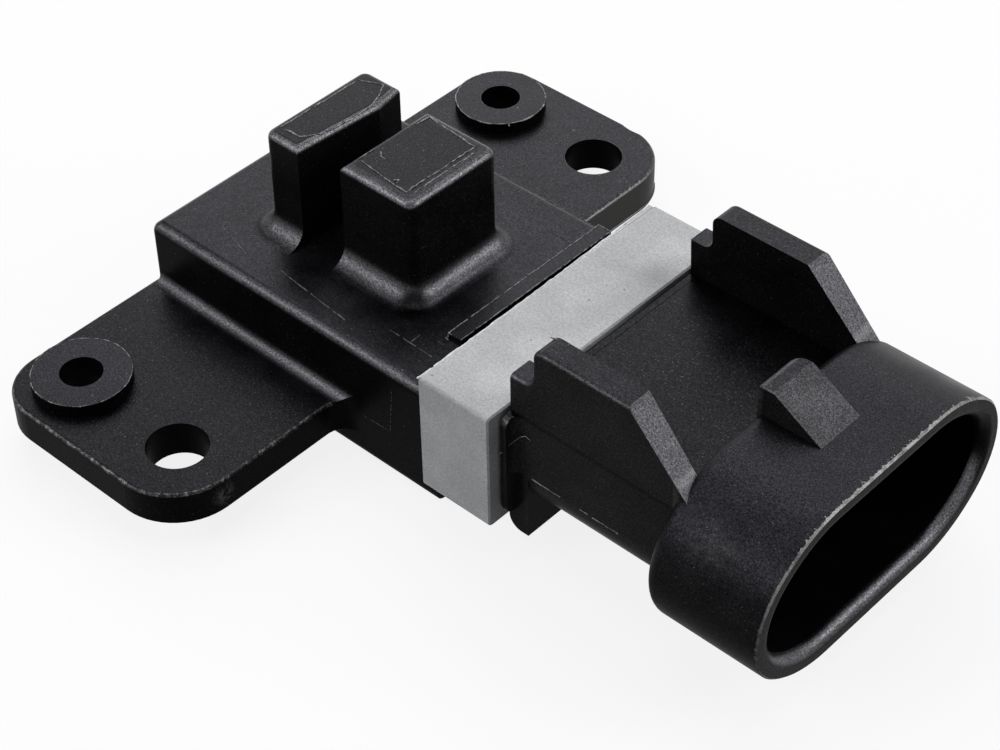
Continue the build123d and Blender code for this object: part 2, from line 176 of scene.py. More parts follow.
class Recipe:
    # a node material that is put together step by step

    def __init__(self, name, roughness, specular, metallic=0.0):
        self.material = bpy.data.materials.new(name)
        self.material.use_nodes = True
        self.tree = self.material.node_tree
        self.shader = self.tree.nodes["Principled BSDF"]
        self.shader.inputs["Roughness"].default_value = roughness
        self.shader.inputs["Specular IOR Level"].default_value = specular
        self.shader.inputs["Metallic"].default_value = metallic
        where = self.tree.nodes.new("ShaderNodeTexCoord")
        inMm = self.tree.nodes.new("ShaderNodeVectorMath")
        inMm.operation = "SCALE"
        inMm.inputs["Scale"].default_value = 1000
        self.tree.links.new(where.outputs["Object"], inMm.inputs[0])
        self.place = inMm.outputs[0]
        self.x, self.y, self.z = self.parts(self.place)
        self.nx, self.ny, self.nz = self.parts(where.outputs["Normal"])

    def parts(self, vector):
        split = self.tree.nodes.new("ShaderNodeSeparateXYZ")
        self.tree.links.new(vector, split.inputs[0])
        return split.outputs

    def put(self, value, socket):
        if isinstance(value, (int, float, tuple)):
            socket.default_value = value
        else:
            self.tree.links.new(value, socket)

    def sum(self, operation, a, b=0.0):
        node = self.tree.nodes.new("ShaderNodeMath")
        node.operation = operation
        self.put(a, node.inputs[0])
        self.put(b, node.inputs[1])
        return node.outputs[0]

    def times(self, *factors):
        made = factors[0]
        for factor in factors[1:]:
            made = self.sum("MULTIPLY", made, factor)
        return made

    def off(self, mask):
        return self.sum("SUBTRACT", 1.0, mask)

    def over(self, value, limit):
        # 1 where the value is over the limit
        return self.sum("GREATER_THAN", value, limit)

    def under(self, value, limit):
        return self.sum("LESS_THAN", value, limit)

    def most(self, *values):
        made = values[0]
        for value in values[1:]:
            made = self.sum("MAXIMUM", made, value)
        return made

    def ramp(self, value, low, high, start=0.0, end=1.0):
        # smooth step of value from start at low to end at high
        node = self.tree.nodes.new("ShaderNodeMapRange")
        node.interpolation_type = "SMOOTHSTEP"
        self.put(value, node.inputs["Value"])
        node.inputs["From Min"].default_value = low
        node.inputs["From Max"].default_value = high
        node.inputs["To Min"].default_value = start
        node.inputs["To Max"].default_value = end
        return node.outputs["Result"]

    def fade(self, value, low, high):
        return self.ramp(value, low, high, 1.0, 0.0)

    def band(self, value, low, high, soft):
        return self.times(self.ramp(value, low - soft, low), self.fade(value, high, high + soft))

    def lift(self, amount, mask, level):
        # amount times the level where the mask is 1, and left as it is where it is 0
        return self.times(amount, self.ramp(mask, 0.0, 1.0, 1.0, level))

    def around(self, x, y, radius):
        # 1 inside an upright cylinder on both sides of the part
        across = self.sum("SUBTRACT", self.x, x)
        along = self.sum("SUBTRACT", self.sum("ABSOLUTE", self.y), y)
        square = self.sum("ADD", self.times(across, across), self.times(along, along))
        return self.under(square, radius * radius)

    def near(self, spot, radius):
        # 1 at the spot, falling to 0 at the radius
        node = self.tree.nodes.new("ShaderNodeVectorMath")
        node.operation = "DISTANCE"
        self.tree.links.new(self.place, node.inputs[0])
        node.inputs[1].default_value = spot
        return self.fade(node.outputs["Value"], 0.0, radius)

    def mapped(self, turn=(0, 0, 0), scale=(1, 1, 1)):
        node = self.tree.nodes.new("ShaderNodeMapping")
        self.tree.links.new(self.place, node.inputs["Vector"])
        node.inputs["Rotation"].default_value = [math.radians(a) for a in turn]
        node.inputs["Scale"].default_value = scale
        return node.outputs[0]

    def noise(self, scale, detail, rough, at=None):
        node = self.tree.nodes.new("ShaderNodeTexNoise")
        self.tree.links.new(at or self.place, node.inputs["Vector"])
        node.inputs["Scale"].default_value = scale
        node.inputs["Detail"].default_value = detail
        node.inputs["Roughness"].default_value = rough
        return node.outputs["Fac"]

    def specks(self, scale, radius, share, at=None):
        # small dots of one radius in a share of the cells
        node = self.tree.nodes.new("ShaderNodeTexVoronoi")
        self.tree.links.new(at or self.place, node.inputs["Vector"])
        node.inputs["Scale"].default_value = scale
        chosen = self.under(self.parts(node.outputs["Color"])[0], share)
        return self.times(chosen, self.fade(node.outputs["Distance"], radius * 0.5, radius))

    def mix(self, share, under, over):
        node = self.tree.nodes.new("ShaderNodeMix")
        node.data_type = "RGBA"
        self.put(share, node.inputs["Factor"])
        self.put(under, node.inputs[6])
        self.put(over, node.inputs[7])
        return node.outputs[2]

    def shade(self, colour, amount):
        # colour made lighter or darker over the surface
        node = self.tree.nodes.new("ShaderNodeVectorMath")
        node.operation = "SCALE"
        self.tree.links.new(colour, node.inputs[0])
        self.tree.links.new(amount, node.inputs["Scale"])
        return node.outputs[0]

    def finish(self, colour, height, depth, roughness=None, metallic=None):
        # the relief's depth is in millimetres
        self.tree.links.new(colour, self.shader.inputs["Base Color"])
        if roughness is not None:
            self.tree.links.new(roughness, self.shader.inputs["Roughness"])
        if metallic is not None:
            self.tree.links.new(metallic, self.shader.inputs["Metallic"])
        bump = self.tree.nodes.new("ShaderNodeBump")
        bump.inputs["Strength"].default_value = 1.0
        bump.inputs["Distance"].default_value = depth / 1000
        self.tree.links.new(height, bump.inputs["Height"])
        self.tree.links.new(bump.outputs[0], self.shader.inputs["Normal"])
        return self.material


mouldingSet = {
    # painted reflected light: upright faces are lighter on the towers, and lighter still on the neck, guards
    # and shroud, than on the block and ears
    "side": (0.0034, 0.0033, 0.0034, 1),       # upright faces of the block and the ears
    "towerSide": (0.0060, 0.0058, 0.0060, 1),
    "frontSide": (0.0170, 0.0167, 0.0167, 1),  # upright faces of the neck, guards and shroud
    "sheenTop": (0.0130, 0.0131, 0.0153, 1),   # painted reflection: how much the upper faces throw back, as a lighter colour that turns metallic
    "sheenSlope": (0.047, 0.047, 0.051, 1),
    "sheenCrest": (0.077, 0.077, 0.082, 1),    # painted highlight on the rounded top edges of the towers
    "sheenShare": 0.9,
    # painted shade inside the socket and on the walls of the ear holes
    "inside": (0.0022, 0.0022, 0.0024, 1),
    "speck": (0.24, 0.24, 0.23, 1),
    # pale colour of the wear and dust, and of the painted highlight on the shroud's back edge
    "wearAndHighlight": (0.36, 0.36, 0.35, 1),
    "roughness": 0.34,
    "roughSpread": (-0.04, 0.05),
    "roughClouds": (0.3, 0.7),
    "shroudRough": 0.08,
    "specular": 0.012,
    "relief": 0.010,
    "fineRelief": 0.5,
}
mouldingPatterns = {
    # scale, detail and roughness of each noise
    "grain": (6.8, 2.0, 0.7),
    "fine": (13.0, 1.0, 0.6),
    "cloud": (0.33, 3.0, 0.5),
    "wear": (1.6, 4.0, 0.7),
    "chips": (2.4, 4.0, 0.75),
    "peel": (4.2, 2.0, 0.65),
    "fibre": (1.0, 2.0, 0.6),
    "fibreStretch": (0.6, 9.0, 0.6),
}
mouldingPlaces = {
    # millimetres; a tilt is the share of a face's direction that points up, forward or outward
    "upperTilt": (0.04, 0.50),
    "leanStart": (0.08, 0.40),
    "leanEnd": (0.90, 0.985),
    "shroudBack": 34.8,
    "shroudTop": 13.72,
    "roundTilt": 0.10,
    "latchHalf": 2.12,
    "leadInBack": 43.13,
    "leadInTilt": (0.04, 0.12),
    "socketFloor": 35.9,
    "socketMiddle": 6.9,
    "socketTilt": 0.02,
    "socketEnd": (43.12, 43.22),
    "holes": ((0.0, 22.25, 2.36), (-10.1, 22.3, 1.66)),
    "wallTilt": 0.3,
    "blockFront": 14.16,
    "blockTop": 8.2,
    "inwardTilt": -2.0,
    "nearEarRoot": (-13.0, -11.2),
    "nearEarHeight": (2.4, 3.4),
    "crestHeight": (16.33, 16.45),
    "crestTilt": (0.30, 0.90, 0.10),
    "flange": 21.3,
    "neckHeight": (10.77, 11.02, 0.1),
    "neckBack": 20.7,
    "peelStart": (0.34, 0.66),
    "footCorner": ((6.6, -5.0, 8.6), 2.6),
    "shoulderTilt": (0.35, 0.98),
    "shroudFarSide": (2.5, 8.0),
    "footHeight": (8.4, 10.2, 0.1),
    "footTilt": (0.25, 0.90, 0.12),
    "footFront": 10.0,
    "towerTop": 16.93,
    "rampLow": 11.17,
    "towerRimFront": (4.85, 5.65),
    "towerRimSide": (3.45, 3.90),
    "towerRimBack": -1.0,
    "towerRimWear": (0.35, 0.55, 0.5, 1.0),
    "guardTop": 17.2,
}
mouldingTones = {
    # light and dark of each place, from grain and clouds and from painted shade and painted highlights: 1
    # leaves it as it is
    "grain": (0.28, 0.72, 0.50, 1.56),
    "fine": (0.30, 0.70, 0.62, 1.40),
    "cloud": (0.3, 0.7, 0.82, 1.18),
    "nearEar": 0.20,                           # painted shade: the ear on the -Y side is darker, where the block and towers keep the lamps' sheen off it
    # painted shade on the neck's top between the guards
    "neckTop": 0.40,
    "neckPeel": 1.7,                           # coarse skin, against the neck's dimmest spots
    "footCorner": (0.2, 0.9, 1.0, 0.12),       # painted shade in the corner of the front tower's rounded foot
    # painted shade on the shroud's rounded sides
    "shoulder": 0.48,
    # painted light on the shroud's far side
    "shroudFarSide": 1.3,
    # painted highlight on the towers' feet where they lean towards +X
    "footRight": 1.35,
    # painted shade: the sheen on the tower tops is turned down
    "towerTop": 0.56,
    # painted shade on the guards' ramps
    "guardRamp": 0.78,
    # painted highlight on the front tower's top towards its edges
    "towerRim": 2.4,
    # painted shade on the guards' tops
    "guardTop": 0.86,
    "mouthStreak": 2.0,
}
wearAndHighlightSet = {
    # limits of each pale place; an entry with the place's bare name is its strength
    "rimRagged": (0.44, 0.68, 0.0, 0.34),
    "rimRaggedWear": (0.40, 0.62, 0.2, 1.0),
    "rimRaggedEnd": (-11.5, -7.0, 0.3, 1.0),
    "rimStart": 43.88,
    "rimFront": (0.80, 0.95),
    "rimOutward": (0.2, 0.6),
    "rimSlope": 0.35,
    "rimHeight": (2.0, 6.0),
    "rimWear": (0.40, 0.58, 0.25, 1.0),
    "rimEnd": (-12.8, -9.0, 0.35, 1.0),
    "earHeight": (2.6, 2.92, 0.02),
    "earTilt": (0.30, 0.93, 0.06),
    "earFront": 8.0,
    "earChips": (0.46, 0.60),
    "earWear": (0.42, 0.60, 0.14, 1.0),
    "earSides": (-5.0, 5.0, 0.32, 0.44),
    "dustRoot": (11.5, 13.0),
    "dustTilt": (0.5, 0.8),
    "dustTop": 2.9,
    "dust": 0.16,
    "streakPlace": (22.25, 22.45, 0.08),
    "streakTilt": (0.7, 0.9),
    "streakHeight": (0.4, 2.6, 0.2),
    "streak": 0.16,
    # painted highlight along the shroud's rounded back edge, broken up by the wear noise
    "backPlace": (34.8, 35.02, 0.22),
    "backOutward": (0.3, 1.0),
    "backTilt": (-0.3, 0.0),
    "backWear": (0.35, 0.6, 0.4, 1.0),
    "back": 0.10,
    "rubbedPlace": ((38.6, -11.6, 11.4), 3.4),
    "rubbedWear": (0.36, 0.70),
    "rubbed": 0.035,
    "smearPlace": ((4.9, -22.4, 1.5), 1.3),    # on the ear's front corner
    "smearChips": (0.42, 0.60),
    "smear": 0.32,
}
marksSet = {
    # cells per millimetre, radius and share of the cells, then the strength
    "specks": (1.7, 0.10, 0.36),
    "specksShow": 0.27,
    "dots": (3.7, 0.20, 0.50),
    "dotsShow": 0.14,
    "fibres": (1.2, 0.07, 0.10),
    "fibresTurn": (0, 0, 24),
    "fibresStretch": (0.35, 1.0, 1.0),
    "fibresShow": 0.3,
}


def mouldingMasks(r):
    # the places on the moulding, each 1 inside and 0 outside
    at = mouldingPlaces
    m = {}
    m["upper"] = r.ramp(r.nz, *at["upperTilt"])
    m["onShroud"] = r.over(r.x, at["shroudBack"])
    m["round"] = r.times(m["onShroud"], r.under(r.z, at["shroudTop"]), r.under(r.nx, at["roundTilt"]))
    # the shroud is round, so only the ramp on it counts as leaning there
    m["leaning"] = r.times(r.ramp(r.nz, *at["leanStart"]), r.fade(r.nz, *at["leanEnd"]), r.off(m["round"]))
    m["leadIn"] = r.times(r.over(r.x, at["leadInBack"]), r.ramp(r.nx, *at["leadInTilt"]))
    # inside the socket, faces look towards its middle line
    fromMiddle = r.sum("SUBTRACT", r.z, at["socketMiddle"])
    m["outward"] = r.sum("ADD", r.times(r.ny, r.y), r.times(r.nz, fromMiddle))
    within = r.times(r.over(r.x, at["socketFloor"]), r.under(m["outward"], at["socketTilt"]),
                     r.fade(r.x, *at["socketEnd"]))
    # painted shade: walls of the holes in the ears are darkened like the inside of the socket
    inHoles = r.most(*[r.around(*hole) for hole in at["holes"]])
    m["bores"] = r.times(inHoles, r.under(r.nz, at["wallTilt"]))
    m["deep"] = r.most(within, m["bores"])
    m["crest"] = r.times(r.ramp(r.z, *at["crestHeight"]), r.band(r.nz, *at["crestTilt"]),
                         r.under(r.x, at["flange"]))
    # the guards' inner faces look towards the middle and keep the dark side tone, without the painted
    # reflected light
    inward = r.under(r.times(r.ny, r.y), at["inwardTilt"])
    m["inFront"] = r.times(r.over(r.x, at["blockFront"]), r.off(inward))
    m["aboveBlock"] = r.over(r.z, at["blockTop"])
    return m


def mouldingAmount(r, m, grain, fine, cloud, wear):
    # how light each place is: grain and clouds, then painted shade and painted highlights
    at = mouldingPlaces
    tone = mouldingTones
    ahead = r.over(r.x, at["flange"])
    aside = r.sum("ABSOLUTE", r.y)
    amount = r.times(r.ramp(grain, *tone["grain"]), r.ramp(fine, *tone["fine"]),
                     r.ramp(cloud, *tone["cloud"]))
    # painted shade on the top of the ear on the -Y side
    nearEar = r.times(r.fade(r.y, *at["nearEarRoot"]), r.fade(r.z, *at["nearEarHeight"]), m["upper"])
    amount = r.lift(amount, nearEar, tone["nearEar"])
    # painted shade: the neck's top between the guards is darker, as the guards and shroud hide it from the
    # lamps
    neckTop = r.times(r.band(r.z, *at["neckHeight"]), r.over(r.x, at["neckBack"]), r.off(m["onShroud"]))
    amount = r.lift(amount, neckTop, tone["neckTop"])
    peel = r.ramp(r.noise(*mouldingPatterns["peel"]), *at["peelStart"])
    amount = r.lift(amount, r.times(neckTop, peel), tone["neckPeel"])
    # painted shade where the front tower's rounded foot turns its corner
    amount = r.times(amount, r.ramp(r.near(*at["footCorner"]), *tone["footCorner"]))
    # painted shade: the shroud's sheen is turned down on its rounded sides, away from its top
    shoulder = r.times(m["round"], r.fade(r.nz, *at["shoulderTilt"]))
    amount = r.lift(amount, shoulder, tone["shoulder"])
    # painted light: the shroud is lighter towards its +Y side
    farSide = r.times(m["round"], r.ramp(r.y, *at["shroudFarSide"]))
    amount = r.lift(amount, farSide, tone["shroudFarSide"])
    # painted highlight on the towers' feet where they lean towards +X
    footRight = r.times(r.band(r.z, *at["footHeight"]), r.band(r.nx, *at["footTilt"]),
                        r.under(r.x, at["footFront"]))
    amount = r.lift(amount, footRight, tone["footRight"])
    # painted shade on the tower tops
    towerTop = r.times(r.over(r.z, at["towerTop"]), r.under(r.x, at["flange"]))
    amount = r.lift(amount, towerTop, tone["towerTop"])
    # painted shade on the guards' ramps
    guardRamp = r.times(r.over(r.z, at["rampLow"]), r.over(aside, at["latchHalf"]), m["leaning"], ahead)
    amount = r.lift(amount, guardRamp, tone["guardRamp"])
    # painted highlight: the front tower's top brightens towards its edges, in patches of the wear noise
    towerRim = r.most(r.ramp(r.x, *at["towerRimFront"]), r.ramp(aside, *at["towerRimSide"]))
    towerRim = r.times(towerTop, towerRim, r.over(r.x, at["towerRimBack"]),
                       r.ramp(wear, *at["towerRimWear"]))
    amount = r.lift(amount, towerRim, tone["towerRim"])
    # painted shade on the guards' tops
    amount = r.lift(amount, r.times(r.over(r.z, at["guardTop"]), ahead), tone["guardTop"])
    # fibrous streaks across the rounded lead-in of the mouth
    fibre = r.noise(*mouldingPatterns["fibre"], r.mapped(scale=mouldingPatterns["fibreStretch"]))
    return r.lift(amount, r.times(m["leadIn"], fibre), tone["mouthStreak"])


def mouldingWearAndHighlight(r, m, wear):
    # pale places: wear on the mouth rim and the ear edges, dust, a streak, rubbed spots and a smear, and a
    # painted highlight along the shroud's back edge
    w = wearAndHighlightSet
    chips = r.noise(*mouldingPatterns["chips"])
    ragged = r.times(r.ramp(chips, *w["rimRagged"]), r.ramp(wear, *w["rimRaggedWear"]),
                     r.ramp(r.y, *w["rimRaggedEnd"]))
    sloped = r.sum("SUBTRACT", r.z, r.times(r.y, w["rimSlope"]))
    rim = r.times(r.over(r.sum("ADD", r.x, ragged), w["rimStart"]), r.fade(r.nx, *w["rimFront"]),
                  r.ramp(m["outward"], *w["rimOutward"]), r.ramp(sloped, *w["rimHeight"]),
                  r.ramp(wear, *w["rimWear"]), r.ramp(r.y, *w["rimEnd"]))
    earEdge = r.times(r.band(r.z, *w["earHeight"]), r.band(r.nz, *w["earTilt"]), r.under(r.x, w["earFront"]),
                      r.ramp(chips, *w["earChips"]), r.ramp(wear, *w["earWear"]), r.ramp(r.y, *w["earSides"]))
    dust = r.times(r.ramp(r.y, *w["dustRoot"]), r.ramp(r.nx, *w["dustTilt"]),
                   r.under(r.z, w["dustTop"]), w["dust"])
    streak = r.times(r.band(r.y, *w["streakPlace"]), r.ramp(r.nx, *w["streakTilt"]),
                     r.band(r.z, *w["streakHeight"]), w["streak"])
    # painted highlight along the shroud's back edge
    back = r.times(r.band(r.x, *w["backPlace"]), r.ramp(m["outward"], *w["backOutward"]),
                   r.ramp(r.nx, *w["backTilt"]), r.ramp(wear, *w["backWear"]), w["back"])
    rubbed = r.times(r.near(*w["rubbedPlace"]), r.ramp(wear, *w["rubbedWear"]), w["rubbed"])
    smear = r.times(r.near(*w["smearPlace"]), r.ramp(chips, *w["smearChips"]), w["smear"])
    return r.times(r.most(rim, earEdge, dust, streak, back, rubbed, smear), r.off(m["bores"]))


def mouldingMarks(r, m):
    # pale specks and short fibres of glass in the skin
    k = marksSet
    specks = r.times(r.specks(*k["specks"]), k["specksShow"])
    dots = r.times(r.specks(*k["dots"]), k["dotsShow"])
    turned = r.mapped(k["fibresTurn"], k["fibresStretch"])
    fibres = r.times(r.specks(*k["fibres"], turned), k["fibresShow"])
    return r.times(r.most(specks, dots, fibres), r.off(m["deep"]))


def mouldedBlack():
    # black glass-filled moulding: grainy, with pale specks, scratches and edge wear, a painted sheen on its
    # upper faces, and painted shade and highlights in places
    s = mouldingSet
    r = Recipe("mouldedBlack", s["roughness"], s["specular"])
    m = mouldingMasks(r)
    grain, fine, cloud, wear = [r.noise(*mouldingPatterns[p]) for p in ("grain", "fine", "cloud", "wear")]
    # painted reflection: leaning faces and the towers' crests take lighter sheen colours than the flat tops
    sheenColour = r.mix(m["leaning"], s["sheenTop"], s["sheenSlope"])
    sheenColour = r.mix(m["crest"], sheenColour, s["sheenCrest"])
    # painted reflected light: three tones for the upright faces of one plastic
    upright = r.mix(m["inFront"], r.mix(m["aboveBlock"], s["side"], s["towerSide"]), s["frontSide"])
    # painted reflection: upper faces take the sheen colour in place of the upright tone
    colour = r.mix(m["upper"], upright, sheenColour)
    # painted shade: the inside of the socket and the ear holes are darker
    colour = r.mix(m["deep"], colour, s["inside"])
    colour = r.shade(colour, mouldingAmount(r, m, grain, fine, cloud, wear))
    wearAndHighlight = mouldingWearAndHighlight(r, m, wear)
    marks = mouldingMarks(r, m)
    colour = r.mix(marks, colour, s["speck"])
    # pale wear and dust, and the painted highlight on the shroud's back edge
    colour = r.mix(wearAndHighlight, colour, s["wearAndHighlight"])
    # painted reflection: the upper faces turn metallic, so their sheen colour is thrown back like the lamps'
    # light
    sheen = r.times(m["upper"], r.off(m["deep"]), r.off(r.most(marks, wearAndHighlight)), s["sheenShare"])
    spread = [s["roughness"] + change for change in s["roughSpread"]]
    rough = r.ramp(cloud, *s["roughClouds"], *spread)
    rough = r.sum("ADD", rough, r.times(m["round"], s["shroudRough"]))
    height = r.sum("ADD", grain, r.times(fine, s["fineRelief"]))
    return r.finish(colour, height, s["relief"], rough, sheen)


sealSet = {
    "grey": (0.466, 0.474, 0.490, 1),
    "lighter": (0.535, 0.544, 0.560, 1),
    "lighterClouds": (0.38, 0.66),
    "fringe": (0.84, 0.85, 0.86, 1),
    "fleck": (0.10, 0.10, 0.10, 1),
    "roughness": 0.62,
    "specular": 0.2,
    # scale, detail and roughness of each noise
    "grain": (6.0, 3.0, 0.65),
    "cloud": (0.28, 3.0, 0.5),
    "skin": (3.6, 3.0, 0.7),
    "relief": 0.035,
    "grainTone": (0.3, 0.7, 0.84, 1.15),
    # painted shade on the faces towards +X
    "frontTone": (0.5, 0.9, 1.0, 0.72),
    # pale edge along the block: its limits, and how it thins out towards the far end
    "edgePlace": (14.35, 14.25),
    "edgeHeight": (10.9, 11.05),
    "edgeRun": (6.0, 9.0, 1.0, 0.2),
    "edgeGrain": (0.4, 0.6, 0.2, 0.8),
    # a darker patch on the seal's top near the far guard, in clouds
    "darkPatchPlace": ((19.6, 6.4, 11.2), 2.4),
    "darkPatchClouds": (0.35, 0.6, 0.4, 1.0),
    "darkPatch": 0.35,
    # cells per millimetre, radius and share of the cells
    "flecks": (0.75, 0.09, 0.5),
    "dots": (2.2, 0.14, 0.34),
    "dotsShow": 0.6,
    "flecksShow": 0.7,
}


def paleRubber():
    # pale grey moulded rubber with fine dark flecks and a darker patch, with painted shade on its faces
    # towards +X
    s = sealSet
    r = Recipe("paleRubber", s["roughness"], s["specular"])
    grain = r.noise(*s["grain"])
    cloud = r.noise(*s["cloud"])
    colour = r.mix(r.ramp(cloud, *s["lighterClouds"]), s["grey"], s["lighter"])
    # painted shade: faces towards +X are darker
    colour = r.shade(colour, r.times(r.ramp(grain, *s["grainTone"]), r.ramp(r.nx, *s["frontTone"])))
    edge = r.times(r.ramp(r.x, *s["edgePlace"]), r.ramp(r.z, *s["edgeHeight"]), r.ramp(r.y, *s["edgeRun"]))
    colour = r.mix(r.times(edge, r.ramp(grain, *s["edgeGrain"])), colour, s["fringe"])
    # darker patch on the seal's top near the far guard
    darkPatch = r.times(r.near(*s["darkPatchPlace"]), r.ramp(cloud, *s["darkPatchClouds"]), s["darkPatch"])
    flecks = r.most(r.specks(*s["flecks"]), r.times(r.specks(*s["dots"]), s["dotsShow"]))
    colour = r.mix(r.most(r.times(flecks, s["flecksShow"]), darkPatch), colour, s["fleck"])
    return r.finish(colour, r.noise(*s["skin"]), s["relief"])


plainSet = {
    "grain": (3.0, 0.6),
    "tones": (0.3, 0.7),
    "relief": 0.004,
}


def grainyFinish(name, dark, light, scale, roughness, specular, metallic=0.0):
    # plain finish of two near tones, for small pieces and those held inside
    r = Recipe(name, roughness, specular, metallic)
    grain = r.noise(scale, *plainSet["grain"])
    colour = r.mix(r.ramp(grain, *plainSet["tones"]), dark, light)
    return r.finish(colour, grain, plainSet["relief"])


innerSet = {
    # slot: material, dark and light tone, grain's scale, roughness, specular level, metallic
    "terminal_metal": ("tinnedBrass", (0.42, 0.41, 0.38, 1), (0.60, 0.59, 0.56, 1), 3.0, 0.32, 0.5, 1.0),
    "lead_metal": ("tinnedLead", (0.48, 0.48, 0.48, 1), (0.62, 0.62, 0.62, 1), 5.0, 0.3, 0.5, 1.0),
    "chip_plastic": ("chipEpoxy", (0.010, 0.010, 0.011, 1), (0.020, 0.020, 0.022, 1), 9.0, 0.55, 0.4, 0.0),
    "steel": ("mildSteel", (0.36, 0.36, 0.37, 1), (0.50, 0.50, 0.51, 1), 2.5, 0.38, 0.5, 1.0),
    "capacitor_ceramic": ("tanCeramic", (0.30, 0.20, 0.11, 1), (0.38, 0.26, 0.15, 1), 8.0, 0.5, 0.4, 0.0),
    "carrier_plastic":
        ("holderBlack", (0.009, 0.009, 0.009, 1), (0.016, 0.016, 0.016, 1), 4.0, 0.5, 0.35, 0.0),
    "magnet_metal": ("platedMagnet", (0.30, 0.30, 0.31, 1), (0.45, 0.45, 0.46, 1), 3.5, 0.28, 0.5, 1.0),
    "potting_resin":
        ("pottingResin", (0.008, 0.008, 0.009, 1), (0.016, 0.016, 0.017, 1), 1.2, 0.22, 0.35, 0.0),
}
nodesOfSlot = {
    "moulding": ("housing",),
    "seal_rubber": ("seal",),
    "potting_resin": ("potting",),
    "terminal_metal": ("terminal_supply", "terminal_ground", "terminal_signal"),
    "lead_metal": ("hall_lead_supply", "hall_lead_ground", "hall_lead_signal"),
    "chip_plastic": ("hall_chip",),
    "steel": ("flux_plate", "magnet_back_plate", "magnet_pole_piece"),
    "capacitor_ceramic": ("supply_capacitor", "output_capacitor"),
    "carrier_plastic": ("carrier",),
    "magnet_metal": ("magnet",),
}
finishes = {"moulding": mouldedBlack(), "seal_rubber": paleRubber()}
for slotName, values in innerSet.items():
    finishes[slotName] = grainyFinish(*values)
for slotName, nodeNames in nodesOfSlot.items():
    for nodeName in nodeNames:
        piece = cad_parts[nodeName]
        piece.data.materials.clear()
        piece.data.materials.append(finishes[slotName])
print("materials on", len(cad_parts), "pieces")


# Moulding flash: thin ragged ridges that the mould's joints left. Lengths are in millimetres.

flashSet = {
    "pale": (0.38, 0.38, 0.37, 1),
    "dull": (0.09, 0.09, 0.09, 1),
    "faintPale": (0.17, 0.17, 0.17, 1),
    "faintDull": (0.03, 0.03, 0.03, 1),
    "roughness": 0.6,
    "specular": 0.1,
    "grain": (3.2, 3.0, 0.65),
    "tones": (0.36, 0.64),
    "relief": 0.01,
    "step": 0.32,
    "shortest": 2,                             # steps that a stretch keeps before it may break off
    "thickness": (0.45, 1.25),
    "firstSeed": 11,
}


def flashFinish(name, dull, pale):
    r = Recipe(name, flashSet["roughness"], flashSet["specular"])
    grain = r.noise(*flashSet["grain"])
    colour = r.mix(r.ramp(grain, *flashSet["tones"]), flashSet[dull], flashSet[pale])
    return r.finish(colour, grain, flashSet["relief"])


def roundPath(name, width, resolution):
    path = bpy.data.curves.new(name, "CURVE")
    path.dimensions = "3D"
    path.bevel_depth = width / 2000
    path.bevel_resolution = resolution
    path.use_fill_caps = True
    return path


def addSpline(path, places):
    spline = path.splines.new("POLY")
    spline.points.add(len(places) - 1)
    for point, place in zip(spline.points, places):
        point.co = (*(Vector(place) / 1000), 1)
    return spline


def addStretch(path, places, dice):
    if len(places) > 1:
        for point in addSpline(path, places).points:
            point.radius = dice.uniform(*flashSet["thickness"])


def settle(name, path, finish, height=0.0):
    # curve to mesh at the height, with its finish, riding on the part
    made = bpy.data.objects.new(name, path)
    scene.collection.objects.link(made)
    made.location.z = height / 1000
    bpy.ops.object.select_all(action="DESELECT")
    bpy.context.view_layer.objects.active = made
    made.select_set(True)
    bpy.ops.object.convert(target="MESH")
    bpy.ops.object.transform_apply(location=True, rotation=False, scale=False)
    made = bpy.context.object
    made.name = name
    made.data.materials.clear()
    made.data.materials.append(finishes[finish])
    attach(made, "root")


def raggedRidge(name, runs, width, sway, gaps, seed, finish, slot):
    # runs are followed in short steps, with uneven thickness and some steps left out
    dice = random.Random(seed)
    path = roundPath(name, width, 1)
    for run in runs:
        stations = []
        for start, end in zip(run, run[1:]):
            start, end = Vector(start), Vector(end)
            count = max(1, round((end - start).length / flashSet["step"]))
            stations += [start.lerp(end, i / count) for i in range(count)]
        stations.append(Vector(run[-1]))
        stretch = []
        for place in stations:
            if len(stretch) > flashSet["shortest"] and dice.random() < gaps:
                addStretch(path, stretch, dice)
                stretch = []
            shift = Vector([dice.uniform(-sway, sway) for _ in range(3)])
            stretch.append(place + shift)
        addStretch(path, stretch, dice)
    settle(name, path, finish)


def evenRidge(name, run, width, finish):
    path = roundPath(name, width, 2)
    addSpline(path, run)
    settle(name, path, finish)


def prism(name, plan, low, top, finish):
    path = bpy.data.curves.new(name, "CURVE")
    path.dimensions = "2D"
    path.fill_mode = "BOTH"
    path.extrude = (top - low) / 2000
    spline = addSpline(path, [(x, y, 0) for x, y in plan])
    spline.use_cyclic_u = True
    spline.use_smooth = False
    settle(name, path, finish, (low + top) / 2)


def arc(centre, radius, start, end, count=24):
    x, y, z = centre
    angles = [math.radians(start + (end - start) * i / count) for i in range(count + 1)]
    return [(x + radius * math.cos(a), y + radius * math.sin(a), z) for a in angles]


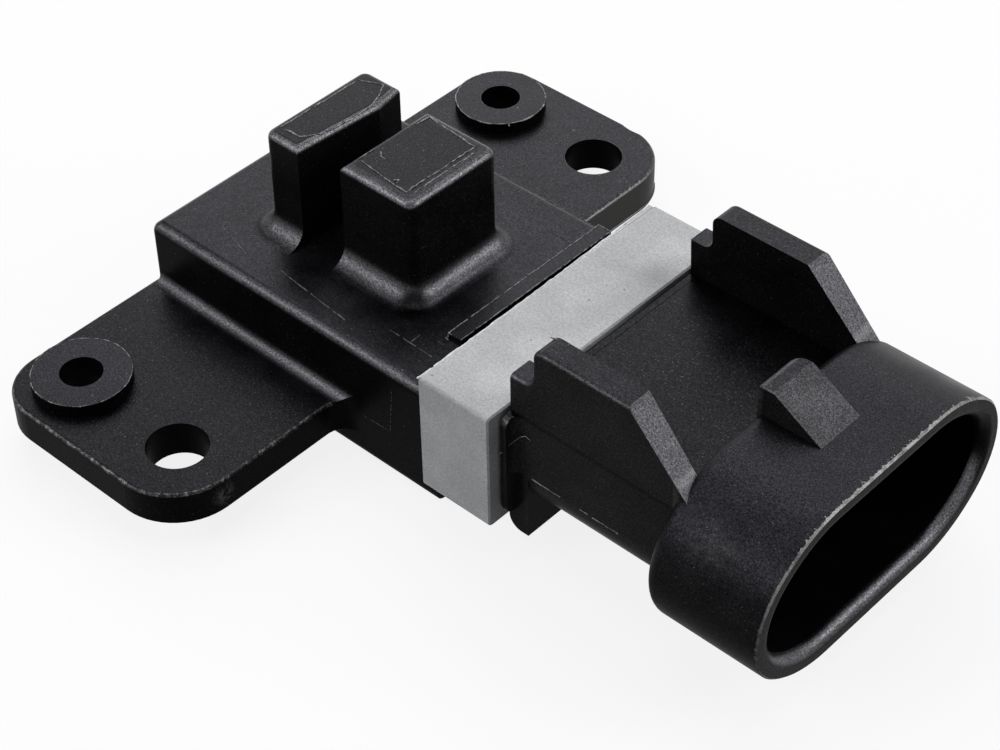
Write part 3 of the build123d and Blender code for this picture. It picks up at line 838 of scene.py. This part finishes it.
ridgeSet = {
    # name: runs, width, sway, share of steps left out, finish
    "flash_front_tower": (
        [[(-0.22, -1.5, 16.95), (-0.28, -3.0, 16.95), (4.0, -3.45, 16.95), (4.88, -3.48, 16.95)],
         [(4.88, -3.48, 16.95), (4.95, 3.47, 16.95), (0.09, 3.9, 16.95), (-0.1, 2.6, 16.95)],
         [(5.35, -3.1, 16.94), (5.32, 0.4, 16.94), (5.38, 2.9, 16.94)],
         [(0.3, -1.35, 16.95), (0.75, -1.75, 16.95), (1.14, -1.76, 16.95)],
         [(3.3, -3.1, 16.95), (3.6, -2.85, 16.95), (3.75, -3.2, 16.95)]],
        0.12, 0.04, 0.10, "flash"),
    "flash_back_tower": (
        [[(-7.09, -4.01, 16.95), (-7.03, 3.73, 16.95), (-5.21, 4.5, 16.95)],
         [(-5.21, 4.5, 16.95), (-4.5, 3.4, 16.95), (-4.07, 2.21, 16.95), (-3.98, -0.13, 16.95)],
         [(-3.98, -0.13, 16.95), (-4.25, -2.4, 16.95), (-5.21, -3.94, 16.95), (-7.09, -4.01, 16.95)]],
        0.12, 0.03, 0.12, "flash"),
    "flash_block_top": (
        [[(-10.44, -7.72, 8.3), (-6.45, -8.83, 8.3)],
         [(-3.55, -8.38, 8.3), (3.89, -9.14, 8.3)],
         [(7.02, -7.79, 8.3), (11.19, -7.89, 8.3)],
         [(9.03, -7.85, 8.3), (8.97, -6.77, 8.3)],
         [(10.35, -6.4, 8.3), (11.25, -6.44, 8.3)],
         [(0.4, 10.67, 8.08), (10.3, 10.67, 8.08)],
         [(8.34, 7.98, 8.3), (10.12, 7.85, 8.3)]],
        0.10, 0.02, 0.10, "faint"),
    "flash_block_side": (
        [[(10.1, -10.9, 6.4), (9.75, -10.9, 2.4)],
         [(9.75, -10.9, 2.4), (7.1, -10.9, 2.26)]],
        0.05, 0.01, 0.25, "faint"),
    "flash_lip_strip": (
        [[(10.62, -5.57, 8.68), (10.62, 10.45, 8.68)],
         [(11.78, -5.57, 8.68), (11.78, 10.45, 8.68)],
         [(10.6, 10.47, 8.68), (11.8, 10.47, 8.68)],
         [(10.6, -5.58, 8.67), (10.95, -5.6, 8.67)],
         [(11.55, 10.4, 8.7), (11.8, 10.42, 8.72), (11.82, 10.2, 8.7)],
         [(10.5, -5.55, 8.42), (10.75, -5.75, 8.5), (10.6, -5.9, 8.4), (10.9, -5.95, 8.45)]],
        0.10, 0.015, 0.10, "flash"),
    "flash_neck_side": (
        [[(22.6, -10.3, 5.74), (25.2, -10.3, 5.7)],
         [(26.95, -10.3, 5.7), (27.66, -10.3, 5.7)],
         [(28.07, -10.3, 5.7), (30.6, -10.3, 5.7)]],
        0.09, 0.02, 0.06, "flash"),
    "flash_ring_near": (
        [arc((-10.1, -22.3, 3.83), 3.66, 0, 360, 60)],
        0.075, 0.02, 0.14, "flash"),
    "flash_ring_far": (
        [arc((-10.1, 22.3, 3.83), 3.66, 0, 360, 60),
         [(-7.15, 20.05, 3.82), (-6.95, 19.9, 3.8)]],
        0.11, 0.02, 0.03, "flash"),
    "flash_far_holes": (
        [arc((0, 22.25, 2.89), 2.33, 0, 360, 44),
         arc((-10.1, 22.3, 3.84), 1.63, 0, 360, 36)],
        0.04, 0.006, 0.12, "faint"),
    "flash_latch": (
        [[(34.85, -2.0, 16.03), (35.85, -2.0, 16.03)],
         [(35.9, -1.95, 16.05), (35.9, 1.95, 16.05)],
         [(37.6, -0.65, 15.08), (37.76, 0.26, 14.99), (38.2, 0.9, 14.73)],
         [(38.05, -0.62, 14.82), (38.17, -1.4, 14.75), (38.57, -1.68, 14.51), (38.83, -1.48, 14.36)]],
        0.06, 0.015, 0.18, "faint"),
    "flash_guard": (
        [[(22.75, -8.5, 17.28), (23.2, -8.32, 17.29), (23.6, -8.3, 17.28)]],
        0.13, 0.03, 0.0, "flash"),
    # the shroud's mouth, up its -Y end and along its top
    "flash_mouth_end": (
        [[(43.9, -12.6, 4.6), (43.9, -13.08, 6.9), (43.9, -12.62, 9.2), (43.9, -11.27, 11.18),
          (43.9, -10.1, 12.2)]],
        0.07, 0.03, 0.12, "flash"),
    "flash_mouth_top": (
        [[(43.86, -10.1, 12.2), (43.86, -8.5, 12.96), (43.86, -5.2, 13.58), (43.86, 0.0, 13.6),
          (43.86, 5.2, 13.58), (43.86, 8.0, 13.13)]],
        0.13, 0.055, 0.10, "flash"),
}

finishes["flash"] = flashFinish("paleFlash", "dull", "pale")
finishes["faint"] = flashFinish("faintFlash", "faintDull", "faintPale")
for number, (name, (runs, width, sway, gaps, finish)) in enumerate(ridgeSet.items()):
    raggedRidge(name, runs, width, sway, gaps, flashSet["firstSeed"] + number, finish, "moulding")
print("moulding flash:", len(ridgeSet), "pieces")

# flash that fills the chamfer under the far ear, whose lower edge is sharp
earLowSet = {
    "root": (4.84, 11.3, 0.04),
    "corner": (-0.05, 22.25, 0.04),
    "radius": 4.89,
    "angles": (0, 44),
    "endRadius": 4.76,
    "endAngles": (52, 60),
    "width": 0.26,
}
earLow = [earLowSet["root"]]
earLow += arc(earLowSet["corner"], earLowSet["radius"], *earLowSet["angles"])
earLow += arc(earLowSet["corner"], earLowSet["endRadius"], *earLowSet["endAngles"], 2)
evenRidge("flash_ear_low", earLow, earLowSet["width"], "moulding")

# the seal's free top leans a little over the block towards its far end
leanSet = {
    "plan": [(14.2, -2.0), (14.2, 12.3), (13.82, 12.3)],
    "low": 8.6,
    "top": 11.17,
}
prism("seal_lean", leanSet["plan"], leanSet["low"], leanSet["top"], "seal_rubber")

# pale frayed edge of the seal, along the block
fringeSet = {
    "run": [(14.2, -12.3, 11.16), (14.2, -2.0, 11.16), (14.0, 8.3, 11.17)],
    # width, sway, share of steps left out, seed
    "ridge": (0.14, 0.02, 0.03, 31),
    # dark and light tone, grain's scale, roughness, specular level
    "finish": ((0.66, 0.67, 0.68, 1), (0.92, 0.93, 0.94, 1), 3.0, 0.7, 0.2),
}
finishes["fringe"] = grainyFinish("frayedRubber", *fringeSet["finish"])
raggedRidge("seal_fringe", [fringeSet["run"]], *fringeSet["ridge"], "fringe", "seal_rubber")
print("lower edge of the ear and edge of the seal in place")

# a fine hair that lies across the flange onto the neck's side
hairSet = {
    "run": [(20.3, -11.5, 7.4), (20.85, -11.42, 7.75), (21.35, -11.0, 8.6), (21.75, -10.5, 9.15),
            (22.15, -10.36, 9.45), (22.6, -10.33, 9.3)],
    # width, sway, share of steps left out, seed
    "ridge": (0.07, 0.0, 0.0, 5),
}
raggedRidge("hair_fibre", [hairSet["run"]], *hairSet["ridge"], "flash", "moulding")
print("hair in place")
